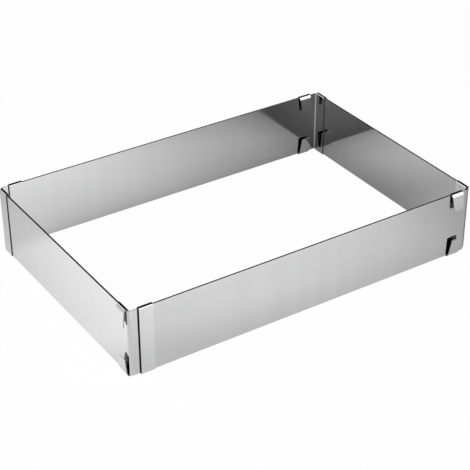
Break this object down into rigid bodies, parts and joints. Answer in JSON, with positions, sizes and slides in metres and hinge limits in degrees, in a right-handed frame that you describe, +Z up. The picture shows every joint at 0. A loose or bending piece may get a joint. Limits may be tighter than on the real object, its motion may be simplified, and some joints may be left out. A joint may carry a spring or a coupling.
{
  "type": "adjustable cake frame",
  "caption": "Rectangular bottomless cake frame of thin steel angles whose overlapping arms slide in welded clips to change its length and width.",
  "frame": {"origin": "centre of the closed frame's footprint, on the surface it stands on", "axes": "+X along the long walls, +Y along the short walls, +Z up"},
  "size_m": [0.2846, 0.1916, 0.0516],
  "materials": {
    "front_left_angle_steel": "bright fine-ground stainless sheet",
    "front_left_long_clip_steel": "bright fine-ground stainless sheet",
    "front_left_short_clip_steel": "bright fine-ground stainless sheet",
    "front_right_angle_steel": "bright fine-ground stainless sheet",
    "front_right_long_clip_steel": "bright fine-ground stainless sheet",
    "front_right_short_clip_steel": "bright fine-ground stainless sheet",
    "back_right_angle_steel": "bright fine-ground stainless sheet",
    "back_right_long_clip_steel": "bright fine-ground stainless sheet",
    "back_right_short_clip_steel": "bright fine-ground stainless sheet",
    "back_left_angle_steel": "bright fine-ground stainless sheet",
    "back_left_long_clip_steel": "bright fine-ground stainless sheet",
    "back_left_short_clip_steel": "bright fine-ground stainless sheet"
  },
  "bodies": {
    "front_left_angle": {"front_left_angle": "front_left_angle_steel", "front_left_long_clip": "front_left_long_clip_steel", "front_left_short_clip": "front_left_short_clip_steel"},
    "front_right_angle": {"front_right_angle": "front_right_angle_steel", "front_right_long_clip": "front_right_long_clip_steel", "front_right_short_clip": "front_right_short_clip_steel"},
    "back_right_angle": {"back_right_angle": "back_right_angle_steel", "back_right_long_clip": "back_right_long_clip_steel", "back_right_short_clip": "back_right_short_clip_steel"},
    "back_left_angle": {"back_left_angle": "back_left_angle_steel", "back_left_long_clip": "back_left_long_clip_steel", "back_left_short_clip": "back_left_short_clip_steel"}
  },
  "joints": [
    {"name": "lengthen", "type": "slide", "parent": "front_left_angle", "child": "front_right_angle", "axis": [1, 0, 0], "range_m": [0, 0.243]},
    {"name": "widen", "type": "slide", "parent": "front_left_angle", "child": "back_left_angle", "axis": [0, 1, 0], "range_m": [0, 0.1595]},
    {"name": "widen_right", "type": "slide", "parent": "front_right_angle", "child": "back_right_angle", "axis": [0, 1, 0], "range_m": [0, 0.1595]}
  ],
  "couplings": [
    {"joint": "widen_right", "follows": "widen", "ratio": 1}
  ]
}
